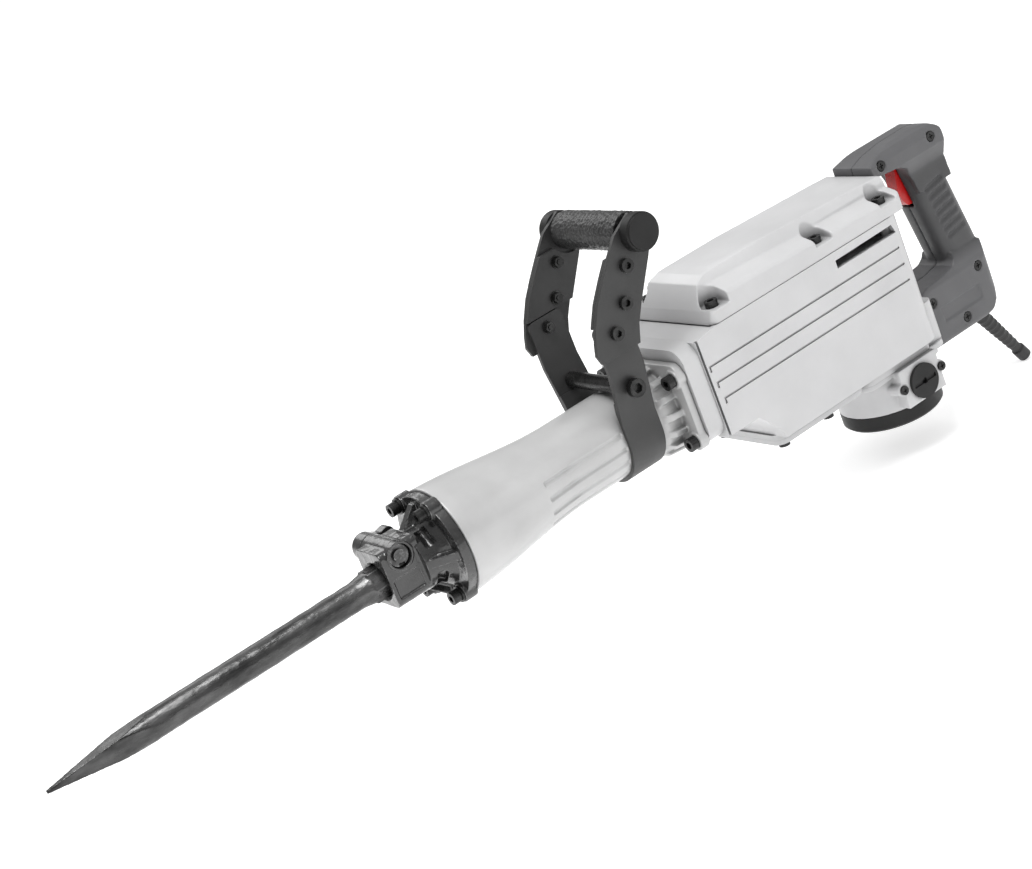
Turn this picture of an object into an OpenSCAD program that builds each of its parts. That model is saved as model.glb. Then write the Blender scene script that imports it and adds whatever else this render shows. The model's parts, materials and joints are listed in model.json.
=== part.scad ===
// Electric demolition hammer with a bull point chisel.
// The hammer axis runs along X, the chisel points to +X and the cord guard ends on z = 0.
// Inner measures are given along the tool: x is counted forward from the front flange seat,
// z is counted up from the hammer axis.

/* [Chisel] */
// width across the flats of the hexagonal shank
shank_af = 28.6; // [26:0.1:30]
// diameter of the round chisel body
chisel_d = 25.6; // [22:0.1:28]
// distance from the flange seat to the chisel tip
chisel_tip_x = 394; // [360:1:440]
// length of the four-sided point
point_len = 98; // [60:1:130]
// free forward travel of the chisel
chisel_float = 12; // [4:1:13]

/* [Front] */
// radius of the front flange between its lobes
flange_r = 50; // [47:0.5:52]
// thickness of the front flange
flange_t = 10; // [8:0.5:12]
// half width of the nose block
nose_half_w = 22; // [20:0.5:24]
// front face of the nose block
nose_x = 68; // [64:1:74]
// half spacing of the front bolts across the tool
front_bolt_y = 23; // [20:0.5:25]
// half spacing of the front bolts up and down
front_bolt_z = 40; // [38:0.5:41]
// radius of the stop lever shaft
lever_r = 8; // [6:0.1:8]

/* [Cylinder case] */
// outer radius behind the front flange
case_front_r = 52; // [51:0.5:54]
// outer radius of the neck
neck_r = 39.3; // [36:0.1:40]
// bore radius of the cylinder
bore_r = 23; // [20:0.5:24]

/* [Side handle] */
// height of the grip above the hammer axis
grip_z = 172; // [150:1:185]
// half length of the side grip over its end discs
grip_half = 71; // [66:1:76]
// radius of the side grip
grip_r = 18; // [15:0.5:19]
// width of the clamp strap along the tool
strap_w = 38; // [30:1:40]
// thickness of the clamp strap
strap_t = 4; // [3:0.5:5]

/* [Housing] */
// half width of the crank case
body_half = 62; // [60:0.5:66]
// height of the joint between crank case and top cover
joint_z = 60; // [56:1:62]
// height of the roof ridge
roof_z = 98; // [94:1:102]
// wall thickness of the crank case
wall = 5; // [4:0.5:6]
// height of the vent slot
vent_h = 8; // [5:0.5:9]

/* [Motor] */
// outer radius of the motor barrel
barrel_r = 50.5; // [49:0.5:52]
// height of the tail cover
tail_h = 16; // [12:1:18]
// radius of the armature core
core_r = 27; // [24:0.5:27]
// radius of the brush caps
brush_cap_r = 17; // [14:0.5:18]

/* [Rear handle] */
// half width of the handle at its top and foot
handle_half = 28; // [25:0.5:30]
// half width of the hand grip
hand_half = 21; // [19:0.5:22]
// number of grip ribs
rib_count = 7; // [4:1:9]
// length of the cord guard under the handle foot
guard_len = 90; // [70:1:95]

/* [Hidden] */
$fn = 64;

// cord guard, a straight rubber sleeve that leans back and down
guard_x = -634;
guard_z = -94;
guard_tilt = 31;
guard_tip_r = 7;

// frame: the lowest point, the end of the cord guard, is on z = 0 and the box is centred along x
tail_z = -138;
guard_end_x = guard_x - guard_len * sin(guard_tilt) - guard_tip_r * cos(guard_tilt);
axis_h = -guard_z + guard_len * cos(guard_tilt) + guard_tip_r * sin(guard_tilt);
tool_x = -(chisel_tip_x + guard_end_x) / 2;

// running and sliding clearances
run = 0.05;
slide = 0.3;

// chisel and front
shank_end_x = -16;
shank_front_x = 79;
lever_x = 50;
lever_z = 19;
hex_hole_af = shank_af + 2 * slide;
front_bolt_r = 3.5;
neck_front_r = 29;
sleeve_r = 24;
cavity_r = 42;

// stations along the tool
strap_x = -203;
foot_x = -226;
case_end_x = -254;
body_rear_x = -538;
cover_front_x = -297;
cover_rear_x = -545;
motor_x = -501;
floor_z = -70;
skirt_z = -80;
barrel_end_z = -122;
brush_z = -101;

// gear train, all shafts upright
m1 = 1.5;
z1 = 10;
z2 = 44;
m2 = 2;
z3 = 14;
z4 = 42;
pressure = 25;
counter_x = motor_x + m1 * (z1 + z2) / 2;
crank_x = counter_x + m2 * (z3 + z4) / 2;
crank_throw = 24;
rod_len = 100;
pin_x = crank_x + sqrt(rod_len * rod_len - crank_throw * crank_throw);
rod_angle = asin(crank_throw / rod_len);

// top cover: fall of its shoulders in degrees, screw pockets
shoulder_fall = 2;
pocket_h = 12;
pocket_r = 10.5;

// screw places: arms (x, z), housing (x), bottom cover (x, y), tail cover (angle), rear handle (x, z)
arm_spots = [[-236, 150], [-222, 121], [-203, 101]];
screw_xs = [-312, -442, -526];
bottom_spots = [[-337, 44], [-337, -44], [-392, 46], [-392, -46]];
tail_angles = [45, 135, 225, 315];
tail_screw_r = 43;
handle_spots = [[-627, 95], [-634, -46], [-602, -86], [-559, 95], [-566, -54]];
brush_screw_xs = [-26, 25];

// side handle
arm_in = 54;
arm_out = 58;
arm_low_z = 86;
clamp_z = 48;

// hand grip, leaning back towards its foot
grip_x = -622;
grip_mid_z = 30;
grip_lean = 10;
grip_depth = 47;
trigger_x = -608;
trigger_z = 79;

// ---- helpers ----
module tool() translate([tool_x, 0, axis_h]) children();

module rod_x(x0, x1, r) translate([x0, 0, 0]) rotate([0, 90, 0]) cylinder(h = x1 - x0, r = r);

module rod_y(y0, y1, r) translate([0, y0, 0]) rotate([-90, 0, 0]) cylinder(h = y1 - y0, r = r);

module rod_z(z0, z1, r) translate([0, 0, z0]) cylinder(h = z1 - z0, r = r);

module cone_x(x0, x1, r0, r1) translate([x0, 0, 0]) rotate([0, 90, 0])
    cylinder(h = x1 - x0, r1 = r0, r2 = r1);

// side outline (x, z) made thick across the tool
module slab_y(y0, y1) translate([0, y1, 0]) rotate([90, 0, 0]) linear_extrude(y1 - y0) children();

// front outline (y, z) made long along the tool
module slab_x(x0, x1) translate([x0, 0, 0]) rotate([90, 0, 90]) linear_extrude(x1 - x0) children();

module slab_z(z0, z1) translate([0, 0, z0]) linear_extrude(z1 - z0) children();

module block(x0, x1, y0, y1, z0, z1) translate([x0, y0, z0]) cube([x1 - x0, y1 - y0, z1 - z0]);

module round_rect(x0, x1, y0, y1, r) {
    translate([x0 + r, y0]) square([x1 - x0 - 2 * r, y1 - y0]);
    translate([x0, y0 + r]) square([x1 - x0, y1 - y0 - 2 * r]);
    for (x = [x0 + r, x1 - r], y = [y0 + r, y1 - r]) translate([x, y]) circle(r);
}

module both_sides() {
    children();
    mirror([0, 1, 0]) children();
}

module hex_x(x0, x1, af) translate([x0, 0, 0]) rotate([0, 90, 0]) rotate(30)
    cylinder(h = x1 - x0, d = af / cos(30), $fn = 6);

module ring_z(z0, z1, r_out, r_in) difference() {
    rod_z(z0, z1, r_out);
    rod_z(z0 - 1, z1 + 1, r_in);
}

module ring_x(x0, x1, r_out, r_in) difference() {
    rod_x(x0, x1, r_out);
    rod_x(x0 - 1, x1 + 1, r_in);
}

// socket head screw pointing down, the underside of its head at z = 0
module cap_screw(head_r, head_h, shank_r, shank_l) difference() {
    union() {
        cylinder(h = head_h, r = head_r);
        translate([0, 0, -shank_l]) cylinder(h = shank_l + 1, r = shank_r);
    }
    translate([0, 0, head_h * 0.4]) cylinder(h = head_h, r = head_r * 0.55, $fn = 6);
}

// cross-head screw pointing down, the underside of its head at z = 0
module cross_screw(head_r, head_h, shank_r, shank_l) difference() {
    union() {
        cylinder(h = head_h, r = head_r);
        translate([0, 0, -shank_l]) cylinder(h = shank_l + 1, r = shank_r);
    }
    for (a = [0, 90]) rotate(a) translate([-head_r * 0.6, -0.6, head_h * 0.45])
        cube([head_r * 1.2, 1.2, head_h]);
}

// involute spur gear outline
function inv(a) = tan(a) * 180 / PI - a;
function polar(r, a) = [r * cos(a), r * sin(a)];
function flank(r, m, z, play) = 90 / z - play / (m * z) * 90 / PI + inv(pressure)
    - inv(acos(min(1, m * z / 2 * cos(pressure) / r)));

module gear_outline(m, z, play = 0.36, steps = 4) {
    r_tip = m * z / 2 + 0.8 * m;
    r_root = m * z / 2 - 1.15 * m;
    r_start = max(r_root + 0.01, m * z / 2 * cos(pressure));
    polygon([for (i = [0 : z - 1])
        let (c = 360 * i / z)
        for (k = [0 : 2 * steps + 3])
            let (
                side = k <= steps + 1 ? -1 : 1,
                j = side < 0 ? k - 1 : 2 * steps + 2 - k,
                r = j < 0 ? r_root : r_start + (r_tip - r_start) * j / steps
            )
            polar(r, c + side * flank(max(r, r_start), m, z, play))]);
}

// ---- chisel and front ----
module chisel() tool() color("#5b5b5d") difference() {
    union() {
        hex_x(shank_end_x, shank_front_x, shank_af);
        cone_x(shank_front_x - 1, shank_front_x + 12, shank_af / 2 + 0.6, chisel_d / 2);
        intersection() {
            rod_x(shank_front_x + 11, chisel_tip_x, chisel_d / 2);
            slab_y(-30, 30) point_outline();
            rotate([90, 0, 0]) slab_y(-30, 30) point_outline();
        }
    }
    block(lever_x - lever_r - chisel_float - 2, lever_x + lever_r + 2, -20, 20, lever_z - lever_r - 2, 30);
    difference() {
        rod_x(shank_end_x - 1, shank_end_x + 3, 20);
        cone_x(shank_end_x - 1, shank_end_x + 4, shank_af / 2 - 2.5, shank_af / 2 + 2.5);
    }
}

module point_outline() {
    back = chisel_tip_x - point_len;
    half = chisel_d / 2;
    polygon([[0, -half - 1], [back, -half - 1], [back, -half], [chisel_tip_x, -1.6], [chisel_tip_x, 1.6],
        [back, half], [back, half + 1], [0, half + 1]]);
}

module front_bolt_places() for (y = [-1, 1], z = [-1, 1])
    translate([0, y * front_bolt_y, z * front_bolt_z]) children();

module front_cover() tool() color("#2b2b2d") difference() {
    union() {
        rod_x(0, flange_t, flange_r);
        front_bolt_places() rod_x(0, flange_t + 3, 9);
        rod_x(-8, 1, cavity_r - 0.1);
        rod_x(flange_t - 1, 34, neck_front_r);
        cone_x(flange_t - 0.5, 20, 38, neck_front_r);
        for (a = [0 : 90 : 270]) rotate([a, 0, 0]) slab_y(-4, 4)
            polygon([[flange_t - 1, 20], [flange_t - 1, 45], [flange_t + 3, 45], [33, 27], [33, 20]]);
        slab_x(30, nose_x) round_rect(-nose_half_w, nose_half_w, -24, 29, 7);
        translate([lever_x, 0, lever_z]) rod_y(-nose_half_w - 2, nose_half_w + 2, 13);
    }
    hex_x(11, nose_x + 5, hex_hole_af);
    translate([nose_x - 4, 0, 0]) cone_x(0, 4.5, 16, 19);
    rod_x(-9, 12, sleeve_r + 0.02);
    translate([lever_x, 0, lever_z]) rod_y(-40, 40, lever_r + run);
    translate([lever_x, 0, lever_z]) rod_y(nose_half_w - 4, 40, 10.5);
    both_sides() block(38, nose_x - 4, nose_half_w - 1.5, 40, -16, 2);
    front_bolt_places() rod_x(-9, 30, front_bolt_r + 0.02);
    for (a = [45 : 90 : 315]) rotate([a, 0, 0]) translate([21, 0, 28]) rod_y(-9, 9, 5);
}

module stop_lever_shaft() tool() color("#6f6f72") translate([lever_x, 0, lever_z]) difference() {
    union() {
        rod_y(-41, nose_half_w - 5, lever_r);
        rod_y(nose_half_w - 6, nose_half_w + 1, lever_r - 2);
        difference() {
            rod_y(nose_half_w - 3.2, nose_half_w - 1.6, 9.6);
            translate([0, 0, -6]) block(-3, 3, 10, 30, -6, 6);
        }
    }
    block(-9, 9, -13, 13, 4.4, 10);
}

module stop_lever() tool() color("#39393c") translate([lever_x, 0, lever_z]) difference() {
    union() {
        rod_y(-40, -25.5, 12.5);
        slab_y(-38, -28) {
            polygon([[2, 12], [-6, 11], [-13, 7.5], [-19, 8.5], [-24, 4], [-23, -4], [-12, -7],
                [-4, -11.5]]);
            translate([-20, 2.5]) circle(6.5);
        }
    }
    rod_y(-42, -24, lever_r + 0.02);
}

module front_bolts() tool() color("#2a2a2c") front_bolt_places() translate([flange_t + 3, 0, 0])
    rotate([0, 90, 0]) union() {
        cap_screw(6, 10, front_bolt_r, 24);
        difference() {
            cylinder(h = 2, r = 7.6);
            translate([0, 0, -1]) cylinder(h = 4, r = 5.6);
        }
    }

module shank_sleeve() tool() color("#77787b") difference() {
    union() {
        rod_x(-28, 11.5, sleeve_r);
        rod_x(-28, -22, 34);
    }
    hex_x(-3.6, 13, hex_hole_af);
    rod_x(-29, -3.5, 17);
}

module cushion_rings() tool() color("#222222") for (x = [-21.8, -39])
    ring_x(x, x + 10.8, cavity_r - 0.3, 34.2);

module hammer_holder() tool() color("#8c8d90") difference() {
    union() {
        rod_x(-62, -28.2, 33.8);
        rod_x(-62, -50, cavity_r - 0.05);
    }
    rod_x(-63, -27, 16 + run);
}

// ---- striking train ----
module second_hammer() tool() color("#9a9b9e") union() {
    rod_x(-79, -17, 16);
    cone_x(-86, -78.5, 20, 16);
    rod_x(-110, -85.9, 20);
}

module striker() tool() color("#a0a1a4") difference() {
    rod_x(-232, -168, bore_r - run);
    for (x = [-224, -214]) ring_x(x, x + 4, bore_r + 1, bore_r - 2.6);
    rod_x(-233, -226, 12);
}

module cylinder_tube() tool() color("#8f9094") difference() {
    union() {
        rod_x(-340, -63, bore_r + 5);
        rod_x(-272, -264.4, bore_r + 9);
    }
    rod_x(-341, -62, bore_r);
    for (a = [30 : 60 : 330]) rotate([a, 0, 0]) translate([-150, 0, 0]) rod_z(bore_r - 2, bore_r + 8, 3);
}

module piston() tool() color("#b4b5b8") translate([pin_x, 0, 0]) difference() {
    rod_x(-26, 30, bore_r - run);
    for (x = [14, 21]) ring_x(x, x + 3.4, bore_r + 1, bore_r - 2.4);
    rod_z(-30, 30, 6.02);
    slab_y(-30, 30) round_rect(-40, 13, -9.5, 9.5, 5);
}

module piston_rings() tool() color("#333333") translate([pin_x, 0, 0])
    for (x = [14.3, 21.3]) ring_x(x, x + 2.8, bore_r - 0.04, bore_r - 2.3);

module piston_pin() tool() color("#c0c1c4") translate([pin_x, 0, 0]) ring_z(-20.5, 20.5, 6, 3);

module connecting_rod() tool() color("#85868a") translate([crank_x, crank_throw, 0]) rotate(-rod_angle)
    difference() {
        union() {
            rod_z(-8, 8, 17);
            translate([rod_len, 0, 0]) rod_z(-8, 8, 11.5);
            slab_z(-5, 5) polygon([[0, -11], [rod_len, -7], [rod_len, 7], [0, 11]]);
        }
        rod_z(-9, 9, 11 + run);
        translate([rod_len, 0, 0]) rod_z(-9, 9, 7.3);
    }

// ---- cylinder case ----
function ease(t) = t * t * (3 - 2 * t);
function case_r(x) = neck_r + (case_front_r - neck_r) * (1 - ease(min(1, max(0, (-x + 6) / 146))));

case_steps = 26;

module cylinder_case() tool() color("#c3c4c6") difference() {
    union() {
        rotate([0, -90, 0]) rotate_extrude() polygon(concat(
            [[bore_r + 4, 0]],
            [for (i = [0 : case_steps]) [case_r(-146 * i / case_steps), 146 * i / case_steps]],
            [[neck_r, -foot_x], [neck_r + 1.5, -foot_x + 4], [neck_r + 1.5, -case_end_x],
                [bore_r + 4, -case_end_x]]));
        for (a = [0 : 22.5 : 337.5]) rotate([a, 0, 0]) slab_y(-3.2, 3.2)
            polygon([[foot_x - 1, neck_r - 4], [foot_x - 1, neck_r + 0.5], [foot_x - 8, neck_r + 6],
                [case_end_x + 1, neck_r + 8], [case_end_x + 1, neck_r - 4]]);
        slab_x(case_end_x, case_end_x + 8) round_rect(-57, 57, -35, 46, 9);
        for (y = [-50, 50], z = [-29, 33]) translate([0, y, z]) rod_x(case_end_x, case_end_x + 10, 9);
    }
    rod_x(-62, 1, cavity_r);
    rod_x(case_end_x - 1, 1, bore_r + 5 + 0.02);
    front_bolt_places() rod_x(-12, 1, front_bolt_r + 0.02);
    for (y = [-50, 50], z = [-29, 33]) translate([0, y, z]) rod_x(case_end_x - 1, case_end_x + 20, 4.02);
    // flutes of the neck, following the flare at their front ends
    both_sides() for (a = [14, -6, -26, -46]) rotate([a, 0, 0]) translate([-118, neck_r + 1.6, 0]) {
        rod_x(-65, 1, 3);
        rotate([0, 0, 5.3]) rod_x(0, 26, 3);
    }
}

module case_bolts() tool() color("#262628") for (y = [-50, 50], z = [-29, 33])
    translate([case_end_x + 10, y, z]) rotate([0, 90, 0]) cap_screw(6.5, 8, 4, 36);

// ---- side handle ----
// side outline of one upper arm, leaning back towards the grip
module arm_outline() difference() {
    polygon([[-180, arm_low_z - 4], [-177, 91], [-180, 101], [-186, 115], [-196, 132], [-209, 148],
        [-224, 165], [-236, 178], [-258, 190], [-276, 176], [-271, 162], [-262, 147], [-250, 130],
        [-239, 114], [-229, 98], [-223, arm_low_z - 4]]);
    arm_screw_places() circle(2.52);
    translate([-258, grip_z]) circle(9.02);
}

module arm_screw_places() for (p = arm_spots) translate(p) children();

module upper_arm_left() tool() color("#2c2c2e") slab_y(arm_in + 0.02, arm_out) arm_outline();

module upper_arm_right() tool() color("#2c2c2e") mirror([0, 1, 0])
    slab_y(arm_in + 0.02, arm_out) arm_outline();

module arm_backing_plates() tool() color("#3a3a3c")
    both_sides() slab_y(arm_in - strap_t, arm_in) difference() {
    intersection() {
        arm_outline();
        translate([-300, 113]) square([200, 49]);
    }
    arm_screw_places() circle(2.52);
    translate([-258, grip_z]) circle(grip_r + 3);
}

// front outline (y, z) of the strap: half ring under the neck and two cheeks
module strap_outline() difference() {
    union() {
        circle(neck_r + strap_t);
        translate([-neck_r - strap_t, 0]) square([2 * (neck_r + strap_t), 40]);
        for (s = [-1, 1]) scale([s, 1])
            polygon([[neck_r, 22], [neck_r + strap_t, 18], [arm_in, 66], [arm_in, 112],
                [arm_in - strap_t, 112], [arm_in - strap_t, 67]]);
    }
    circle(neck_r + 0.35);
    translate([-neck_r - 0.35, 0]) square([2 * neck_r + 0.7, 60]);
    for (s = [-1, 1]) scale([s, 1])
        polygon([[0, 60], [0, 30], [neck_r, 30], [arm_in - strap_t, 67], [arm_in - strap_t, 70]]);
}

module clamp_strap() tool() color("#333335") difference() {
    intersection() {
        slab_x(strap_x - strap_w / 2, strap_x + strap_w / 2) strap_outline();
        slab_y(-80, 80) round_rect(strap_x - strap_w / 2, strap_x + strap_w / 2, -60, 112, 6);
    }
    translate([strap_x, 0, clamp_z]) rod_y(-80, 80, 5.02);
    both_sides() translate([strap_x, 0, clamp_z]) rod_y(50, 80, 6.3);
    slab_y(-80, 80) arm_screw_places() circle(2.52);
}

module clamp_bolt() tool() color("#242426") translate([strap_x, 0, clamp_z]) difference() {
    union() {
        rod_y(-60, 58, 5);
        rod_y(53.6, 60, 8.5);
        rod_y(50, 54, 6.2);
    }
    translate([0, 56, 0]) rotate([-90, 0, 0]) cylinder(h = 10, r = 4.6, $fn = 6);
}

module clamp_nut() tool() color("#242426") translate([strap_x, 0, clamp_z]) difference() {
    union() {
        rotate([90, 0, 0]) translate([0, 0, 53.6]) cylinder(h = 8, d = 17 / cos(30), $fn = 6);
        rod_y(-54, -50, 6.2);
    }
    rod_y(-70, 0, 5.02);
}

module spacer_tube() tool() color("#8a8b8e") translate([strap_x, 0, clamp_z]) difference() {
    rod_y(-44, 44, 7.5);
    rod_y(-45, 45, 5.3);
}

// screws with their nuts on the inner side
module arm_screws() tool() color("#1f1f21") both_sides() for (p = arm_spots) {
    translate([p[0], arm_out, p[1]]) rotate([-90, 0, 0]) cap_screw(6.2, 4.4, 2.5, 14);
    translate([p[0], 0, p[1]]) difference() {
        translate([0, arm_in - strap_t, 0]) rotate([90, 0, 0]) union() {
            cylinder(h = 1.2, r = 6.2);
            cylinder(h = 5, d = 9 / cos(30), $fn = 6);
        }
        rod_y(30, 60, 2.52);
    }
}

module grip_tube() tool() color("#77787a") translate([-258, 0, grip_z]) difference() {
    rod_y(-grip_half + 4, grip_half - 4, 9);
    rod_y(-grip_half, grip_half, 6.5);
}

module grip_cover() tool() color("#252527") translate([-258, 0, grip_z]) difference() {
    rod_y(-arm_in + 4.2, arm_in - 4.2, grip_r);
    rod_y(-60, 60, 9.02);
}

module grip_discs() tool() color("#232325") translate([-258, 0, grip_z]) both_sides() difference() {
    union() {
        rod_y(arm_out + 0.02, grip_half - 2, 17.5);
        rod_y(grip_half - 2.1, grip_half, 16);
    }
    rod_y(arm_out - 1, grip_half - 4, 9.02);
}

// ---- housing ----
module body_plan() {
    translate([cover_front_x - 20, -body_half])
        square([-cover_front_x + 20 + case_end_x - 18, 2 * body_half]);
    round_rect(body_rear_x, case_end_x - 18, -body_half, body_half, 20);
    translate([case_end_x - 60, -body_half]) square([42, 2 * body_half]);
}

module body_side(inset = 0) polygon([
    [case_end_x - 18 - inset, joint_z - 4 - inset],
    [case_end_x - 18 - inset, -38 + inset],
    [-309 - inset / 2, -38 + inset],
    [-327 - inset / 2, -60 + inset],
    [-330 - inset, floor_z + inset],
    [body_rear_x + inset, floor_z + inset],
    [body_rear_x + inset, joint_z],
    [cover_front_x + 6 - inset, joint_z]]);

module barrel_bulge(z0, z1, r) translate([motor_x, 0, 0]) rod_z(z0, z1, r);

module crank_case() tool() color("#dcdcde") difference() {
    union() {
        intersection() {
            slab_z(-90, 70) body_plan();
            slab_y(-70, 70) body_side();
        }
        slab_x(case_end_x - 19, case_end_x) round_rect(-60.5, 60.5, -37, 57, 16);
        slab_z(skirt_z + 5, floor_z + 0.5) round_rect(-470, -328, -52, 52, 12);
        slab_z(skirt_z, floor_z + 0.5) round_rect(body_rear_x + 6, -441, -52, 52, 12);
        barrel_bulge(skirt_z, 26, barrel_r);
        slab_z(skirt_z, -40) round_rect(-553, body_rear_x + 20, -46, 46, 9);
    }
    difference() {
        union() {
            intersection() {
                slab_z(-90, joint_z + 1) round_rect(body_rear_x + wall, case_end_x - 12, -body_half + wall,
                    body_half - wall, 15);
                slab_y(-70, 70) union() {
                    body_side(wall);
                    translate([body_rear_x + wall, 0]) square([cover_front_x + 1 - body_rear_x - wall, 80]);
                }
            }
            barrel_bulge(skirt_z - 1, 19, barrel_r - wall + 0.02);
            slab_z(skirt_z + 4, floor_z + wall + 1) round_rect(-434, -344, -36, 36, 8);
        }
        // bearing web over the crank
        slab_z(22, 35) round_rect(-533, -348, -60, 60, 10);
        translate([motor_x, 0, 0]) rod_z(22, 48, 22);
        // ledges for the gear cover
        both_sides() block(-528, -352, 50, 60, 52, joint_z);
        // ring that carries the cylinder
        rod_x(case_end_x - 30, case_end_x - 9, bore_r + 14);
        // screw posts of the top cover
        both_sides() for (x = screw_xs) translate([x, 48, 0]) rod_z(-10, joint_z, 7);
    }
    rod_x(-300, case_end_x + 1, bore_r + 5.02);
    rod_x(-285, -264, bore_r + 9.02);
    translate([crank_x, 0, 0]) rod_z(20, 40, 17);
    translate([crank_x, 0, 0]) rod_z(22, 40, 26.02);
    translate([counter_x, 0, 0]) rod_z(25, 40, 13.02);
    translate([motor_x, 0, 0]) rod_z(20, 60, 12);
    translate([motor_x, 0, 0]) rod_z(37, 60, 17.52);
    for (y = [-50, 50], z = [-29, 33]) translate([0, y, z]) rod_x(case_end_x - 30, case_end_x + 1, 4.02);
    both_sides() for (x = screw_xs) translate([x, 48, 0]) rod_z(30, joint_z + 1, 3.02);
    for (p = bottom_spots) translate([p[0], p[1], 0]) rod_z(skirt_z + 4, skirt_z + 14, 2.52);
    // side grooves with their short hooks
    both_sides() for (i = [0 : 2]) {
        block(-521, -277 - 2 * i, body_half - 1.3, body_half + 1, 28.4 - 16.5 * i, 30.4 - 16.5 * i);
        block(-279 - 2 * i, -277 - 2 * i, body_half - 1.3, body_half + 1, 24 - 16.5 * i, 30.4 - 16.5 * i);
    }
    // vent slots
    both_sides() slab_y(body_half - wall - 1, body_half + 1)
        polygon([[-523, 44], [-446, 44], [-446, 44 + vent_h], [-520, 44 + vent_h + 1]]);
    // notch under the front lip
    both_sides() block(case_end_x - 21, case_end_x - 18.4, body_half - 3, body_half + 5, -60, 80);
}

// front outline (y, z) of the cover's shoulders, and of the raised middle
module shoulder_section(inset = 0) for (s = [-1, 1]) scale([s, 1]) polygon([[-1, 40],
    [body_half - 0.5 - inset, 40], [body_half - 0.5 - inset, 80.5 - inset / 2], [59 - inset, 83 - inset],
    [0, 102 - inset], [-1, 102 - inset]]);

module ridge_section(inset = 0) for (s = [-1, 1]) scale([s, 1]) polygon([[-1, 40], [44 - inset, 40],
    [41 - inset, 86], [34 - inset, roof_z - inset], [18, roof_z + 2 - inset], [-1, roof_z + 2 - inset]]);

module top_side(inset = 0) polygon([
    [cover_front_x - inset, joint_z - inset * 3],
    [cover_front_x - 3 - inset, joint_z + 12],
    [-311 - inset, 93 - inset],
    [-322 - inset / 2, 97.5 - inset],
    [-336, roof_z + 1 - inset],
    [-386, roof_z + 0.5 - inset],
    [-456, roof_z - 2.5 - inset],
    [-520, roof_z - 5 - inset],
    [cover_rear_x + inset, roof_z - 6.5 - inset],
    [cover_rear_x + inset, joint_z - inset * 3]]);

// upright post that runs out to the side
module side_post(z0, z1, r) {
    rod_z(z0, z1, r);
    block(-r, r, 0, 20, z0, z1);
}

// shoulders that fall towards the rear, with the raised middle on top
module top_solid(inset = 0) intersection() {
    union() {
        translate([cover_front_x - 25, 0, 0]) rotate([0, -shoulder_fall, 0])
            slab_x(-260, 40) shoulder_section(inset);
        slab_x(cover_rear_x, cover_front_x) ridge_section(inset);
    }
    slab_y(-70, 70) top_side(inset);
}

module top_cover() tool() color("#e0e0e2") difference() {
    intersection() {
        top_solid();
        slab_z(joint_z, 120) round_rect(cover_rear_x, cover_front_x, -body_half, body_half, 10);
    }
    intersection() {
        top_solid(3.5);
        difference() {
            slab_z(joint_z - 1, 120) square([2000, 200], center = true);
            both_sides() for (x = screw_xs) translate([x, 48, 0]) side_post(joint_z, 100, 13);
        }
    }
    both_sides() for (x = screw_xs) translate([x, 48, 0]) {
        side_post(joint_z + pocket_h, 110, pocket_r);
        rod_z(joint_z - 1, 100, 3.02);
    }
    // joint line
    both_sides() block(-440, -358, body_half - 1.4, body_half, joint_z + 0.8, joint_z + 1.8);
}

module top_cover_screws() tool() color("#222224") both_sides() for (x = screw_xs)
    translate([x, 48, joint_z + pocket_h]) cap_screw(6.2, 6, 3, 30);

module gear_cover() tool() color("#b9babc") difference() {
    union() {
        slab_z(joint_z + 0.02, joint_z + 5) round_rect(-529, -349, -57, 57, 10);
        translate([crank_x, 0, 0]) rod_z(joint_z + 3, 78, 22);
        translate([counter_x, 0, 0]) rod_z(joint_z + 3, 78, 18);
    }
    slab_z(joint_z - 1, joint_z + 3.4) union() {
        translate([counter_x, 0]) circle(37);
        translate([motor_x, 0]) circle(14);
    }
    translate([crank_x, 0, 0]) rod_z(joint_z - 1, 76, 17.52);
    translate([counter_x, 0, 0]) rod_z(joint_z - 1, 76, 13.02);
    both_sides() for (x = screw_xs) translate([x, 48, 0]) side_post(joint_z - 1, 90, 13.5);
}

// ---- crank and gears ----
module crankshaft() tool() color("#8b8c90") {
    translate([crank_x, 0, 0]) {
        rod_z(20, 76, 7.5);
        rod_z(20, 37, 12.5);
        rod_z(9.5, 20.5, 19);
        slab_z(9.5, 19) difference() {
            circle(36);
            translate([-50, 22]) square([100, 40]);
            translate([-50, 5]) square([24, 50]);
            translate([26, 5]) square([24, 50]);
        }
    }
    translate([crank_x, crank_throw, 0]) {
        rod_z(-9.5, 10, 11);
        rod_z(9.5, 19, 15);
        rod_z(-12, -9.4, 13);
    }
}

module bearing(z0, z1, r_out, r_in) difference() {
    ring_z(z0, z1, r_out, r_in);
    for (z = [z0 - 1, z1 - 1]) ring_z(z, z + 2, r_out - (r_out - r_in) / 3, r_in + (r_out - r_in) / 3);
}

module crank_bearings() tool() color("#a9aaad") translate([crank_x, 0, 0]) {
    bearing(22.1, 34.5, 26, 12.5 + run);
    bearing(64, 75.8, 17.5, 7.5 + run);
}

module final_gear() tool() color("#7d7e82") translate([crank_x, 0, 0]) difference() {
    slab_z(38, 50) gear_outline(m2, z4);
    rod_z(30, 60, 7.52);
    for (z = [37, 47.5]) ring_z(z, z + 3.5, 35, 16);
    for (a = [0 : 60 : 300]) rotate(a) translate([26, 0, 0]) rod_z(30, 60, 5);
}

module countershaft() tool() color("#86878b") translate([counter_x, 0, 0]) {
    rod_z(26, 76, 6);
    slab_z(37, 51) rotate(180 / z3) gear_outline(m2, z3);
}

module countershaft_bearings() tool() color("#a9aaad") translate([counter_x, 0, 0]) {
    bearing(25.1, 34.5, 13, 6 + run);
    bearing(66, 75.8, 13, 6 + run);
}

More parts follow.
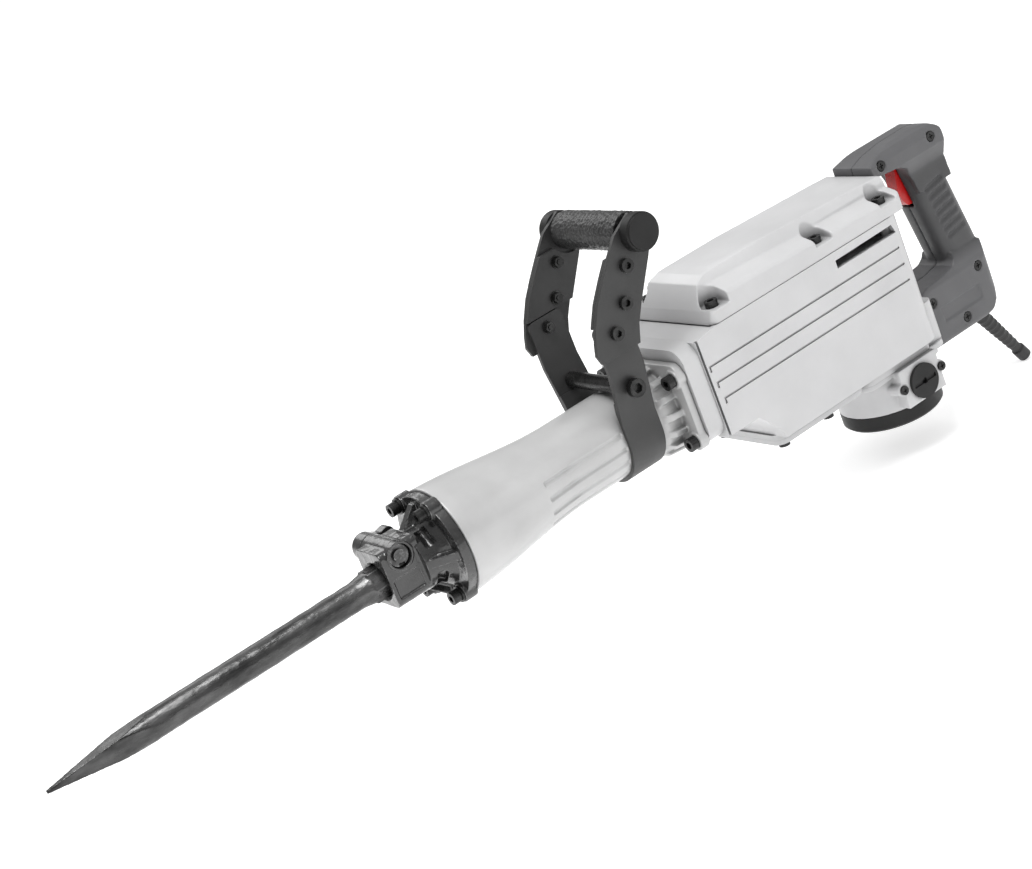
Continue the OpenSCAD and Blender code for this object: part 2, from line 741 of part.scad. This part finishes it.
module first_gear() tool() color("#7d7e82") translate([counter_x, 0, 0]) difference() {
    union() {
        slab_z(53, 61) gear_outline(m1, z2);
        rod_z(51.2, 64, 11);
    }
    rod_z(50, 66, 6.02);
    ring_z(59.5, 62, 27, 13);
}

module armature_shaft() tool() color("#95969a") translate([motor_x, 0, 0]) {
    rod_z(-121, 50, 5);
    rod_z(-104, 47, 7.5);
    slab_z(50, 62.5) rotate(180 / z1) gear_outline(m1, z1);
    rod_z(47, 50.5, 5.6);
}

module armature_core() tool() color("#6c6d70") translate([motor_x, 0, 0]) difference() {
    rod_z(-78, -8, core_r);
    rod_z(-79, -7, 7.52);
    for (a = [0 : 22.5 : 337.5]) rotate(a) translate([core_r - 0.5, -1.2, -79]) cube([6, 2.4, 72]);
}

module armature_windings() tool() color("#a8672f") translate([motor_x, 0, 0]) {
    ring_z(-84, -78.02, 23, 7.52);
    ring_z(-7.98, -1, 23, 7.52);
}

module commutator() tool() color("#b5763a") translate([motor_x, 0, 0]) difference() {
    rod_z(-112, -86, 17);
    rod_z(-113, -85, 5.02);
    rod_z(-104.02, -85, 7.52);
    for (a = [0 : 15 : 345]) rotate(a) translate([16, -0.4, -113]) cube([6, 0.8, 24]);
}

module fan() tool() color("#3d3d40") translate([motor_x, 0, 0]) difference() {
    union() {
        rod_z(2, 4.5, 38);
        rod_z(2, 16, 12);
        for (a = [0 : 30 : 330]) rotate(a) translate([10, -1, 4]) cube([27, 2, 11]);
    }
    rod_z(1, 17, 7.52);
}

module armature_bearings() tool() color("#a9aaad") translate([motor_x, 0, 0]) {
    bearing(37.1, 47, 17.5, 7.5 + run);
    bearing(-121, -113, 15, 5 + run);
}

module stator_core() tool() color("#75767a") translate([motor_x, 0, 0]) difference() {
    rod_z(-76, -12, 42);
    rod_z(-77, -11, core_r + 0.8);
    for (a = [0, 180]) rotate(a) slab_z(-77, -11) difference() {
        polygon([[12, 0], [36, 20], [36, -20]]);
        circle(core_r + 4);
    }
}

module stator_windings() tool() color("#a8672f") translate([motor_x, 0, 0])
    for (z = [-86, -11.98]) ring_z(z, z + 9.9, 38, core_r + 2);

module brush_holders() tool() color("#2e2e30") both_sides() translate([motor_x, 0, brush_z]) difference() {
    block(-9, 9, 19, 52, -9, 9);
    block(-5.2, 5.2, 18, 53, -8, 8);
}

module carbon_brushes() tool() color("#303032") both_sides() translate([motor_x, 0, brush_z]) {
    block(-5, 5, 17.3, 36, -7.5, 7.5);
    rod_y(36, 51.5, 2.4);
}

module brush_caps() tool() color("#1e1e20") both_sides() translate([motor_x, 0, brush_z]) difference() {
    union() {
        rod_y(52.5, 61, 9.8);
        rod_y(58.1, 61.5, brush_cap_r);
    }
    block(-14, 14, 59.9, 63, -1.8, 1.8);
    rod_y(57, 63, 3);
}

// ---- motor housing ----
module motor_housing() tool() color("#dcdcde") difference() {
    union() {
        barrel_bulge(barrel_end_z, skirt_z, barrel_r);
        slab_z(skirt_z - 6, skirt_z) round_rect(-551, -442, -50, 50, 12);
        barrel_bulge(skirt_z - 1, -5, barrel_r - wall);
        intersection() {
            both_sides() block(motor_x - 25, motor_x + 25, 20, 58, -119, skirt_z);
            translate([motor_x, 0, 0]) slab_z(-130, -70) circle(63);
        }
        both_sides() for (x = brush_screw_xs) translate([motor_x + x, 0, brush_z + 2]) rod_y(30, 57, 6);
        slab_z(-98, skirt_z) round_rect(-553, motor_x - 20, -34, 34, 8);
    }
    difference() {
        barrel_bulge(barrel_end_z + 4, 10, 42.02);
        for (a = tail_angles) translate([motor_x, 0, 0]) rotate(a) translate([tail_screw_r, 0, 0])
            rod_z(barrel_end_z, -112, 5);
    }
    both_sides() translate([motor_x, 0, brush_z]) block(-9.02, 9.02, 30, 53, -9.02, 9.02);
    both_sides() translate([motor_x, 0, brush_z]) rod_y(52, 70, 10);
    translate([motor_x, 0, 0]) rod_z(barrel_end_z + 1, -100, 15.02);
    for (a = [0 : 45 : 315]) translate([motor_x, 0, 0]) rotate(a + 22.5) translate([29, 0, 0])
        rod_z(barrel_end_z - 1, -100, 5);
    both_sides() for (x = brush_screw_xs) translate([motor_x + x, 0, brush_z + 2]) {
        rod_y(40, 70, 2.02);
        rod_y(57, 70, 4.7);
    }
    for (a = tail_angles) translate([motor_x, 0, 0]) rotate(a) translate([tail_screw_r, 0, 0])
        rod_z(barrel_end_z - 1, -114, 2.02);
}

module bottom_cover() tool() color("#d6d6d8") difference() {
    union() {
        slab_z(skirt_z, skirt_z + 4.98) round_rect(-440.5, -328, -52, 52, 12);
        slab_z(skirt_z + 4, skirt_z + 8) round_rect(-433.5, -344.5, -35.5, 35.5, 8);
    }
    for (p = bottom_spots) translate([p[0], p[1], 0]) rod_z(skirt_z - 1, skirt_z + 9, 2.52);
}

module bottom_screws() tool() color("#242426") {
    for (p = bottom_spots) translate([p[0], p[1], skirt_z]) rotate([180, 0, 0])
        cross_screw(5.5, 3.5, 2.5, 12);
    both_sides() for (x = brush_screw_xs) translate([motor_x + x, 57, brush_z + 2]) rotate([-90, 0, 0])
        cross_screw(4.4, 2.6, 2, 12);
}

module tail_cover() tool() color("#262628") translate([motor_x, 0, 0]) difference() {
    union() {
        translate([0, 0, tail_z]) rotate_extrude() polygon([[0, 0], [48, 0], [50.5, 2.5],
            [50.5, tail_h - 0.02], [45.4, tail_h - 0.02], [45.4, 5], [0, 5]]);
        for (a = tail_angles) rotate(a) translate([tail_screw_r, 0, 0]) rod_z(tail_z + 2.5, -124, 5.5);
    }
    for (a = [0 : 30 : 330]) rotate(a) translate([30, 0, 0])
        slab_z(tail_z - 1, tail_z + 6) round_rect(-8, 8, -2.2, 2.2, 2.1);
    for (a = tail_angles) rotate(a) translate([tail_screw_r, 0, 0]) {
        rod_z(tail_z - 1, tail_z + 5, 4.5);
        rod_z(tail_z - 1, -120, 2.02);
    }
}

module tail_screws() tool() color("#1e1e20") translate([motor_x, 0, 0]) for (a = tail_angles)
    rotate(a) translate([tail_screw_r, 0, tail_z + 5]) rotate([180, 0, 0]) cross_screw(4, 3, 2, 14);

// ---- rear handle ----
// side outline of the arm and the top corner
module handle_top_side() polygon([[cover_rear_x - 0.2, 88], [cover_rear_x - 0.2, 99], [-560, 104],
    [-585, 107.5], [-620, 108], [-634, 106], [-641, 101], [-643, 92], [-642, 70], [-643.5, 48],
    [-598.5, 48], [-596, 62], [-590, 78], [-578, 84], [-560, 86]]);

// side outline of the foot
module handle_foot_side() polygon([[-612, -22], [-611, -28], [-606, -33], [-590, -36], [-566, -37],
    [-553.2, -41], [-553.2, -98], [-626, -98], [-637, -95], [-645, -87], [-650, -74], [-651, -50],
    [-652, -24]]);

// half width of the handle along its height
module handle_front() union() {
    polygon([[-handle_half, 85], [handle_half, 85], [handle_half, 98], [22, 105], [12, 108.5],
        [-12, 108.5], [-22, 105], [-handle_half, 98]]);
    polygon([[-handle_half, 86], [handle_half, 86], [hand_half, 70], [hand_half, -22],
        [handle_half, -42], [-handle_half, -42], [-hand_half, -22], [-hand_half, 70]]);
    round_rect(-handle_half, handle_half, -99, -36, 6);
}

module handle_grip() translate([grip_x, 0, grip_mid_z]) rotate([0, grip_lean, 0])
    slab_z(-80, 50) round_rect(-grip_depth / 2, grip_depth / 2, -hand_half, hand_half, 15);

// hollow for the switch and the cables, with a boss round each screw
module handle_cavity() difference() {
    slab_y(-13, 13) polygon([[-590, 88], [-618, 88], [-636, 76], [-637, 60], [-640, 30], [-644, 0],
        [-646, -28], [-645, -50], [-643, -72], [-638, -86], [-628, -91], [-560, -91], [-560, -46],
        [-590, -42], [-614, -40], [-618, -30], [-611, 10], [-606, 36], [-603, 60], [-596, 82]]);
    for (p = handle_spots) translate([p[0], 0, p[1]]) rod_y(-14, 14, 5.6);
}

module handle_shell() difference() {
    union() {
        intersection() {
            slab_y(-40, 40) union() {
                handle_top_side();
                handle_foot_side();
            }
            slab_x(-660, -500) handle_front();
            slab_z(-120, 120) round_rect(-652.5, -500, -handle_half, handle_half, 12);
        }
        handle_grip();
    }
    handle_cavity();
    // trigger opening
    block(-614, -580, -7.6, 7.6, 34.5, 86.5);
    // grip ribs
    both_sides() for (i = [0 : rib_count - 1]) translate([-618 - 1.6 * i, hand_half + 1.2, 50 - 9 * i])
        rotate([0, 90 + grip_lean, 0]) translate([0, 0, -13]) cylinder(h = 26, r = 3.2);
    // recessed panel in the foot
    both_sides() slab_y(handle_half - 1.4, handle_half + 1)
        polygon([[-572, -62], [-628, -62], [-628, -78], [-574, -78]]);
    for (p = handle_spots) translate([p[0], 0, p[1]]) {
        rod_y(-50, 50, 2.02);
        both_sides() rod_y(handle_half - 3.2, 50, 5.2);
    }
    // seat of the cord guard
    guard_place() {
        translate([0, 0, -12]) cylinder(h = 40, r = 8.02);
        translate([0, 0, -6.1]) cylinder(h = 4.2, r = 10.6);
    }
    // wire passage into the motor housing
    block(-570, -550, -8, 8, -80, -60);
}

module handle_left() tool() color("#4a4b4e") intersection() {
    handle_shell();
    block(-700, -500, 0.01, 60, -120, 130);
}

module handle_right() tool() color("#4a4b4e") mirror([0, 1, 0]) intersection() {
    handle_shell();
    block(-700, -500, 0.01, 60, -120, 130);
}

module handle_screws() tool() color("#1d1d1f") for (p = handle_spots)
    translate([p[0], handle_half - 3.2, p[1]]) rotate([-90, 0, 0]) cross_screw(4.6, 2.6, 2, 40);

module trigger() tool() color("#c8201f") difference() {
    union() {
        slab_y(-7, 7) polygon([[-612, 84], [-590, 84], [-587, 70], [-585, 56], [-587, 46], [-592, 39],
            [-598, 38], [-600, 50], [-601, 70], [-612, 74]]);
        translate([trigger_x, 0, trigger_z]) rod_y(-7, 7, 4.5);
    }
    translate([trigger_x, 0, trigger_z]) rod_y(-20, 20, 2.05);
}

module trigger_switch() tool() color("#303033") {
    block(-636, -613, -11, 11, 18, 66);
    translate([0, 0, 54]) rod_x(-614, -604.8, 3);
    translate([trigger_x, 0, trigger_z]) rod_y(-13, 13, 2);
}

// ---- cord guard ----
module guard_place() translate([guard_x, 0, guard_z]) rotate([0, 180 + guard_tilt, 0]) children();

module cord_guard() tool() color("#2a2a2c") guard_place() difference() {
    union() {
        translate([0, 0, -6]) cylinder(h = 16, r = 8);
        translate([0, 0, -6]) cylinder(h = 4, r = 10.5);
        translate([0, 0, 9.9]) cylinder(h = guard_len - 22, r1 = 7.6, r2 = 5.2);
        for (i = [0 : 7]) translate([0, 0, 16 + 7 * i]) cylinder(h = 2.6, r = 7.8 - 0.25 * i);
        translate([0, 0, guard_len - 13]) cylinder(h = 13, r = guard_tip_r);
    }
    translate([0, 0, -10]) cylinder(h = guard_len + 20, r = 4.2);
}

chisel();
front_cover();
stop_lever();
stop_lever_shaft();
front_bolts();
shank_sleeve();
cushion_rings();
hammer_holder();
second_hammer();
striker();
cylinder_tube();
piston();
piston_rings();
piston_pin();
connecting_rod();
cylinder_case();
case_bolts();
clamp_strap();
clamp_bolt();
clamp_nut();
spacer_tube();
upper_arm_left();
upper_arm_right();
arm_backing_plates();
arm_screws();
grip_tube();
grip_cover();
grip_discs();
crank_case();
crankshaft();
crank_bearings();
final_gear();
countershaft();
countershaft_bearings();
first_gear();
armature_shaft();
armature_core();
armature_windings();
commutator();
fan();
armature_bearings();
stator_core();
stator_windings();
brush_holders();
carbon_brushes();
brush_caps();
gear_cover();
top_cover();
top_cover_screws();
motor_housing();
bottom_cover();
bottom_screws();
tail_cover();
tail_screws();
handle_left();
handle_right();
handle_screws();
trigger();
trigger_switch();
cord_guard();
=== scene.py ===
"""Looks of the electric demolition hammer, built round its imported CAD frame. Metres, row frame."""
import json
import math

import bmesh
import bpy
from mathutils import Matrix, Vector


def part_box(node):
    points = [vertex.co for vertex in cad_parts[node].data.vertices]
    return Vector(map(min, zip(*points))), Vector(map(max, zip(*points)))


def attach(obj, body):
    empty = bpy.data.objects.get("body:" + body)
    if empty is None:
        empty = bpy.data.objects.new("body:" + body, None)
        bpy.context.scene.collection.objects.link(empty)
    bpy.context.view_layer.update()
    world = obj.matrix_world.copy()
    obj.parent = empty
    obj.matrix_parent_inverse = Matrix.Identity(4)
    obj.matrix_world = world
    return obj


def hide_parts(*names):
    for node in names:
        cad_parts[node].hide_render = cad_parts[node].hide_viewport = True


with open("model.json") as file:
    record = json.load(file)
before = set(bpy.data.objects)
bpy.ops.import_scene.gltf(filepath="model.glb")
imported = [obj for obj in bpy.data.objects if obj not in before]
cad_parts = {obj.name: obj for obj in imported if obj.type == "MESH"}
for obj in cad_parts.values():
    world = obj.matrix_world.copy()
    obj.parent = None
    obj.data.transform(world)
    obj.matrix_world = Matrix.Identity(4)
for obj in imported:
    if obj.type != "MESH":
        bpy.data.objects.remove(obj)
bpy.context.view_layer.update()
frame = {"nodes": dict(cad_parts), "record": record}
NODES = frame["nodes"]

# ---------------------------------------------------------------- camera
# the tool's own origin (flange seat on the hammer axis) in the row frame
TOOL_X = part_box("cylinder_case")[1].x
AXIS_Z = (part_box("chisel")[0].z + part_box("chisel")[1].z) / 2
AIM = Vector((TOOL_X - 0.106, 0, AXIS_Z + 0.048))
# degrees round the tool from straight ahead of the chisel, above the floor, and about the view's own axis
AZIMUTH = 62.9
ELEVATION = 19.0
ROLL = -22.3
DISTANCE = 1.884
# focal length and sensor width in millimetres
LENS = 75.3
SENSOR_WIDTH = 36


def make_camera():
    """Camera on a sphere round AIM, rolled about its own axis."""
    az = math.radians(AZIMUTH)
    el = math.radians(ELEVATION)
    away = Vector((math.cos(az) * math.cos(el), math.sin(az) * math.cos(el), math.sin(el)))
    data = bpy.data.cameras.new("camera")
    data.lens = LENS
    data.sensor_width = SENSOR_WIDTH
    cam = bpy.data.objects.new("camera", data)
    look = (-away).to_track_quat("-Z", "Y").to_matrix()
    cam.matrix_world = Matrix.Translation(AIM + away * DISTANCE) @ (
        look @ Matrix.Rotation(math.radians(ROLL), 3, "Z")).to_4x4()
    bpy.context.collection.objects.link(cam)
    bpy.context.scene.camera = cam


# ---------------------------------------------------------------- materials
# the hand grip's band of painted shade, below and above the hammer axis, and how softly it starts
GRIP_LOW = AXIS_Z - 0.022
GRIP_HIGH = AXIS_Z + 0.066
SHADE_BAND_BLUR = 0.012
# how far into a crease the painted shade reaches
CREASE_SHADE_REACH = 0.012


def node_material(name):
    """A new material with its node tree and its Principled shader."""
    mat = bpy.data.materials.new(name)
    mat.use_nodes = True
    tree = mat.node_tree
    shader = tree.nodes["Principled BSDF"]
    return mat, tree, shader


def noise(tree, scale, detail=4, rough=0.6, stretch=(1, 1, 1)):
    """Noise in object space, with the space scaled along each axis."""
    coord = tree.nodes.new("ShaderNodeTexCoord")
    mapping = tree.nodes.new("ShaderNodeMapping")
    mapping.inputs["Scale"].default_value = stretch
    tex = tree.nodes.new("ShaderNodeTexNoise")
    tex.inputs["Scale"].default_value = scale
    tex.inputs["Detail"].default_value = detail
    tex.inputs["Roughness"].default_value = rough
    tree.links.new(coord.outputs["Object"], mapping.inputs["Vector"])
    tree.links.new(mapping.outputs["Vector"], tex.inputs["Vector"])
    return tex.outputs["Fac"]


def ramp(tree, source, stops):
    """stops: (position, grey or colour) pairs."""
    node = tree.nodes.new("ShaderNodeValToRGB")
    while len(node.color_ramp.elements) < len(stops):
        node.color_ramp.elements.new(0.5)
    for element, (place, value) in zip(node.color_ramp.elements, stops):
        element.position = place
        element.color = (*value, 1) if isinstance(value, tuple) else (value, value, value, 1)
    tree.links.new(source, node.inputs["Fac"])
    return node.outputs["Color"]


def blend_colour(tree, mode, amount, first, second):
    """first and second are colour outputs or colours."""
    node = tree.nodes.new("ShaderNodeMix")
    node.data_type = "RGBA"
    node.blend_type = mode
    # inputs 6 and 7 are the two colours of a mix node in colour mode, output 2 its result
    wanted = ((node.inputs["Factor"], amount), (node.inputs[6], first), (node.inputs[7], second))
    for socket, value in wanted:
        if isinstance(value, bpy.types.NodeSocket):
            tree.links.new(value, socket)
        else:
            socket.default_value = value
    return node.outputs[2]


def add_bump(tree, shader, sources):
    """sources: (height output, strength, distance in metres), chained."""
    last = None
    for height, strength, distance in sources:
        bump = tree.nodes.new("ShaderNodeBump")
        bump.inputs["Strength"].default_value = strength
        bump.inputs["Distance"].default_value = distance
        tree.links.new(height, bump.inputs["Height"])
        if last:
            tree.links.new(last, bump.inputs["Normal"])
        last = bump.outputs["Normal"]
    tree.links.new(last, shader.inputs["Normal"])


def surface(name, colours, rough, metallic=0.0, grain=(900, 0.15, 0.0002), patch=14, stretch=(1, 1, 1),
            coat=0.0, crease_shade=0.0, rubbed=None, lumps=None, gloss=0.5, shade_band=None):
    """A painted, cast or moulded surface: cloudy colour, uneven gloss and a fine grain.

    crease_shade is painted shade that darkens creases, rubbed is the colour that shows through on worn
    edges, lumps is a coarser bump, shade_band is (low, high, shade_factor) of a height range darkened by
    painted shade.
    """
    mat, tree, shader = node_material(name)
    cloud = noise(tree, patch, 5, 0.55, stretch)
    colour = ramp(tree, cloud, [(0.3, colours[0]), (0.7, colours[1])])
    if crease_shade:
        # painted shade: ambient occlusion darkens the colour in creases and recesses
        crease = tree.nodes.new("ShaderNodeAmbientOcclusion")
        crease.samples = 6
        crease.inputs["Distance"].default_value = CREASE_SHADE_REACH
        shade_in_creases = ramp(tree, crease.outputs["AO"], [(0.25, 1 - crease_shade), (0.85, 1.0)])
        colour = blend_colour(tree, "MULTIPLY", 1.0, colour, shade_in_creases)
    # painted shade: the colour is darkened within a range of heights
    if shade_band:
        low, high, shade_factor = shade_band
        place = tree.nodes.new("ShaderNodeTexCoord")
        parts = tree.nodes.new("ShaderNodeSeparateXYZ")
        tree.links.new(place.outputs["Object"], parts.inputs["Vector"])
        stops = [(low - SHADE_BAND_BLUR, 1.0), (low, shade_factor), (high, shade_factor), (high + SHADE_BAND_BLUR, 1.0)]
        band_shade = ramp(tree, parts.outputs["Z"], stops)
        colour = blend_colour(tree, "MULTIPLY", 1.0, colour, band_shade)
    if rubbed:
        edge = tree.nodes.new("ShaderNodeNewGeometry").outputs["Pointiness"]
        worn = ramp(tree, edge, [(0.52, 0.0), (0.6, 1.0)])
        broken = ramp(tree, noise(tree, 160, 4, 0.7), [(0.45, 0.0), (0.62, 1.0)])
        amount = blend_colour(tree, "MULTIPLY", 1.0, worn, broken)
        colour = blend_colour(tree, "MIX", amount, colour, (*rubbed, 1))
    tree.links.new(colour, shader.inputs["Base Color"])
    tree.links.new(ramp(tree, noise(tree, patch * 3, 4, 0.6, stretch), [(0.3, rough[0]), (0.7, rough[1])]),
                   shader.inputs["Roughness"])
    shader.inputs["Metallic"].default_value = metallic
    shader.inputs["Specular IOR Level"].default_value = gloss
    shader.inputs["Coat Weight"].default_value = coat
    shader.inputs["Coat Roughness"].default_value = 0.12
    bumps = [(noise(tree, grain[0], 3, 0.6, stretch), grain[1], grain[2])]
    if lumps:
        bumps.append((noise(tree, lumps[0], 4, 0.55, stretch), lumps[1], lumps[2]))
    add_bump(tree, shader, bumps)
    return mat


def grey(value, blue=0.0):
    """A grey, with its blue raised by a fraction."""
    return (value, value, value * (1 + blue))


def make_materials():
    m = {}
    # the crease darkening given to four of these materials is painted shade from ambient occlusion
    m["housing_white"] = surface("white_housing", (grey(0.52, 0.01), grey(0.58, 0.01)), (0.3, 0.44),
                                 grain=(1500, 0.12, 0.00012), coat=0.1, crease_shade=0.65, lumps=(120, 0.1, 0.0004))
    m["silver_cast"] = surface("silver_cast", (grey(0.44), grey(0.52)), (0.28, 0.4), 0.15,
                               grain=(2200, 0.25, 0.00012), coat=0.35, crease_shade=0.6, lumps=(140, 0.12, 0.0004))
    m["black_cast"] = surface("black_cast", (grey(0.01), grey(0.028)), (0.16, 0.36), 0.15,
                              grain=(480, 0.45, 0.0005), coat=0.8, rubbed=grey(0.4), lumps=(80, 0.5, 0.0016))
    m["black_sheet"] = surface("black_powder_coat", (grey(0.026), grey(0.034)), (0.4, 0.5),
                               grain=(1300, 0.4, 0.0002), lumps=(240, 0.2, 0.0004))
    m["dark_steel"] = surface("forged_steel", (grey(0.012), grey(0.15)), (0.16, 0.42), 0.85, patch=48,
                              grain=(420, 0.5, 0.0005), stretch=(0.3, 1, 1), lumps=(90, 0.45, 0.0014),
                              rubbed=grey(0.35))
    m["tool_steel"] = surface("tool_steel", (grey(0.24), grey(0.34)), (0.28, 0.42), 0.95)
    m["bright_steel"] = surface("bright_steel", (grey(0.5), grey(0.6)), (0.15, 0.28), 1.0)
    m["bearing_steel"] = surface("bearing_steel", (grey(0.45), grey(0.55)), (0.2, 0.32), 1.0)
    m["gear_steel"] = surface("gear_steel", (grey(0.2), grey(0.3)), (0.3, 0.42), 1.0)
    m["raw_aluminium"] = surface("raw_aluminium", (grey(0.5), grey(0.6)), (0.4, 0.55), 0.9)
    m["black_screws"] = surface("black_oxide", (grey(0.015), grey(0.045)), (0.2, 0.36), 0.7, patch=120)
    m["laminations"] = surface("laminations", (grey(0.18), grey(0.26)), (0.4, 0.5), 0.8, stretch=(1, 1, 40))
    m["copper_wire"] = surface("copper_wire", ((0.5, 0.22, 0.08), (0.62, 0.3, 0.12)), (0.3, 0.42), 0.8,
                               stretch=(1, 1, 12))
    m["commutator_copper"] = surface("commutator", ((0.6, 0.3, 0.15), (0.7, 0.4, 0.2)), (0.25, 0.35), 1.0)
    m["black_plastic"] = surface("black_plastic", (grey(0.012), grey(0.02)), (0.4, 0.55),
                                 lumps=(300, 0.15, 0.0003), gloss=0.25)
    m["carbon"] = surface("carbon", (grey(0.03), grey(0.05)), (0.5, 0.6))
    # painted shade: the hand grip is darkened within a range of heights
    m["handle_plastic"] = surface("grey_plastic", (grey(0.085, 0.04), grey(0.11, 0.04)), (0.38, 0.52),
                                  grain=(1800, 0.35, 0.0002), crease_shade=0.5, lumps=(160, 0.12, 0.0004),
                                  shade_band=(GRIP_LOW, GRIP_HIGH, 0.5))
    m["red_plastic"] = surface("red_plastic", ((0.5, 0.006, 0.006), (0.62, 0.012, 0.012)), (0.22, 0.34))
    m["seal_rubber"] = surface("rubber", (grey(0.018), grey(0.03)), (0.5, 0.66), grain=(1200, 0.4, 0.0003))
    m["grip_rubber"] = surface("pebbled_rubber", (grey(0.016), grey(0.045)), (0.26, 0.46),
                               grain=(900, 0.5, 0.0004), crease_shade=0.5)
    return m


# ---------------------------------------------------------------- CAD meshes with worked edges
RECORD = frame["record"]
BODY_OF = {node: body for body, nodes in RECORD["behaviour"]["bodies"].items() for node in nodes}
SLOT_OF = {part["node"]: part["material_slot"] for part in RECORD["subparts"]}
# vertices closer than this are one, and faces within this angle of each other are one flat face
WELD = 0.000004
FLAT = math.radians(1.0)


def copy_of(node, angle):
    """A welded copy of a CAD node's mesh that stands for the node, sharp where faces meet steeply."""
    bm = bmesh.new()
    bm.from_mesh(NODES[node].data)
    bmesh.ops.remove_doubles(bm, verts=bm.verts, dist=WELD)
    bmesh.ops.dissolve_limit(bm, angle_limit=FLAT, verts=bm.verts, edges=bm.edges)
    for face in bm.faces:
        face.smooth = True
    for edge in bm.edges:
        if len(edge.link_faces) == 2 and edge.calc_face_angle(0) > math.radians(angle):
            edge.smooth = False
    mesh = bpy.data.meshes.new(node + "_worked")
    bm.to_mesh(mesh)
    bm.free()
    mesh.materials.append(MATERIALS[SLOT_OF[node]])
    obj = bpy.data.objects.new(node + "_worked", mesh)
    bpy.context.collection.objects.link(obj)
    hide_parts(node)
    return obj


def worked(node, width=0.0005, angle=32, segments=2):
    """The CAD shape with its sharp edges rounded by width."""
    obj = copy_of(node, angle)
    bevel = obj.modifiers.new("edges", "BEVEL")
    bevel.width = width
    bevel.segments = segments
    bevel.limit_method = "ANGLE"
    bevel.angle_limit = math.radians(angle)
    bevel.harden_normals = True
    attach(obj, BODY_OF[node])
    return obj


def cast(node, voxel=0.001, rounds=3, uneven=None):
    """The CAD shape softened like a casting or a moulding.

    uneven is (texture kind, size, height) of its skin.
    """
    obj = copy_of(node, 180)
    remesh = obj.modifiers.new("skin", "REMESH")
    remesh.mode = "VOXEL"
    remesh.voxel_size = voxel
    remesh.use_smooth_shade = True
    if rounds:
        smooth = obj.modifiers.new("soften", "SMOOTH")
        smooth.factor = 0.5
        smooth.iterations = rounds
    if uneven:
        kind, size, height = uneven
        texture = bpy.data.textures.new(node + "_skin", kind)
        texture.noise_scale = size
        lift = obj.modifiers.new("uneven", "DISPLACE")
        lift.texture = texture
        lift.texture_coords = "LOCAL"
        lift.strength = height
        lift.mid_level = 1.0
    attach(obj, BODY_OF[node])
    return obj


# ---------------------------------------------------------------- studio
# half the side of the floor, far enough for its edge to lie beyond the view, and its gap under the tool
FLOOR_SIZE = 80
FLOOR_GAP = 0.0005


def make_stage():
    """A white floor that glows a little, so that it reads as a plain background."""
    mesh = bpy.data.meshes.new("floor")
    bm = bmesh.new()
    bmesh.ops.create_grid(bm, x_segments=1, y_segments=1, size=FLOOR_SIZE)
    bm.to_mesh(mesh)
    bm.free()
    floor = bpy.data.objects.new("floor", mesh)
    floor.location.z = -FLOOR_GAP
    bpy.context.collection.objects.link(floor)
    mat, _, shader = node_material("white_floor")
    shader.inputs["Base Color"].default_value = (0.8, 0.8, 0.8, 1)
    shader.inputs["Roughness"].default_value = 0.8
    shader.inputs["Emission Color"].default_value = (1, 1, 1, 1)
    shader.inputs["Emission Strength"].default_value = 0.58
    floor.data.materials.append(mat)


def make_world():
    """A soft box of light, brighter overhead and darker ahead of the chisel."""
    world = bpy.data.worlds.new("studio")
    world.use_nodes = True
    tree = world.node_tree
    back = tree.nodes["Background"]
    coord = tree.nodes.new("ShaderNodeTexCoord")
    parts = tree.nodes.new("ShaderNodeSeparateXYZ")
    tree.links.new(coord.outputs["Generated"], parts.inputs["Vector"])
    overhead = ramp(tree, parts.outputs["Z"], [(0.0, 0.4), (0.3, 0.5), (1.0, 1.0)])
    ahead = tree.nodes.new("ShaderNodeMapRange")
    ahead.inputs["From Min"].default_value = -0.2
    ahead.inputs["From Max"].default_value = 1.0
    ahead.inputs["To Min"].default_value = 1.0
    ahead.inputs["To Max"].default_value = 0.6
    tree.links.new(parts.outputs["X"], ahead.inputs["Value"])
    light = blend_colour(tree, "MULTIPLY", 1.0, overhead, ahead.outputs["Result"])
    tree.links.new(light, back.inputs["Color"])
    back.inputs["Strength"].default_value = 0.85
    bpy.context.scene.world = world
    bpy.context.scene.view_settings.view_transform = "Standard"


def area_light(name, place, size, power):
    """A square softbox aimed at the tool."""
    data = bpy.data.lights.new(name, "AREA")
    data.size = size
    data.energy = power
    light = bpy.data.objects.new(name, data)
    light.location = place
    light.rotation_euler = (AIM - Vector(place)).to_track_quat("-Z", "Y").to_euler()
    bpy.context.collection.objects.link(light)


make_camera()
MATERIALS = make_materials()
make_stage()
make_world()
area_light("key", (0.3, 0.5, 2.3), 1.1, 38)
area_light("fill", (-1.8, 1.6, 1.0), 1.5, 5)
area_light("rim", (-0.2, -1.9, 1.6), 1.2, 8)

for name, obj in NODES.items():
    obj.data.materials.clear()
    obj.data.materials.append(MATERIALS[SLOT_OF[name]])

# castings and mouldings
worked("crank_case", 0.0012, 25, 2)
cast("top_cover", 0.0009, 3)
cast("motor_housing", 0.0009, 3)
cast("cylinder_case", 0.0009, 2)
cast("front_cover", 0.0007, 2, ("CLOUDS", 0.008, 0.0005))
cast("handle_left", 0.0009, 8)
cast("handle_right", 0.0009, 8)
cast("grip_cover", 0.0006, 1, ("VORONOI", 0.0032, 0.0012))
cast("chisel", 0.0008, 2, ("CLOUDS", 0.012, 0.0006))
cast("stop_lever", 0.0006, 3)
cast("cord_guard", 0.0005, 1)

# turned, stamped and bought-in parts
for name in ("stop_lever_shaft", "front_bolts", "case_bolts", "clamp_bolt", "clamp_nut", "arm_screws",
             "top_cover_screws", "bottom_screws", "tail_screws", "handle_screws"):
    worked(name, 0.0004)
for name in ("clamp_strap", "upper_arm_left", "upper_arm_right", "arm_backing_plates"):
    worked(name, 0.0007)
for name in ("grip_discs", "brush_caps", "tail_cover", "bottom_cover", "trigger"):
    worked(name, 0.0009)
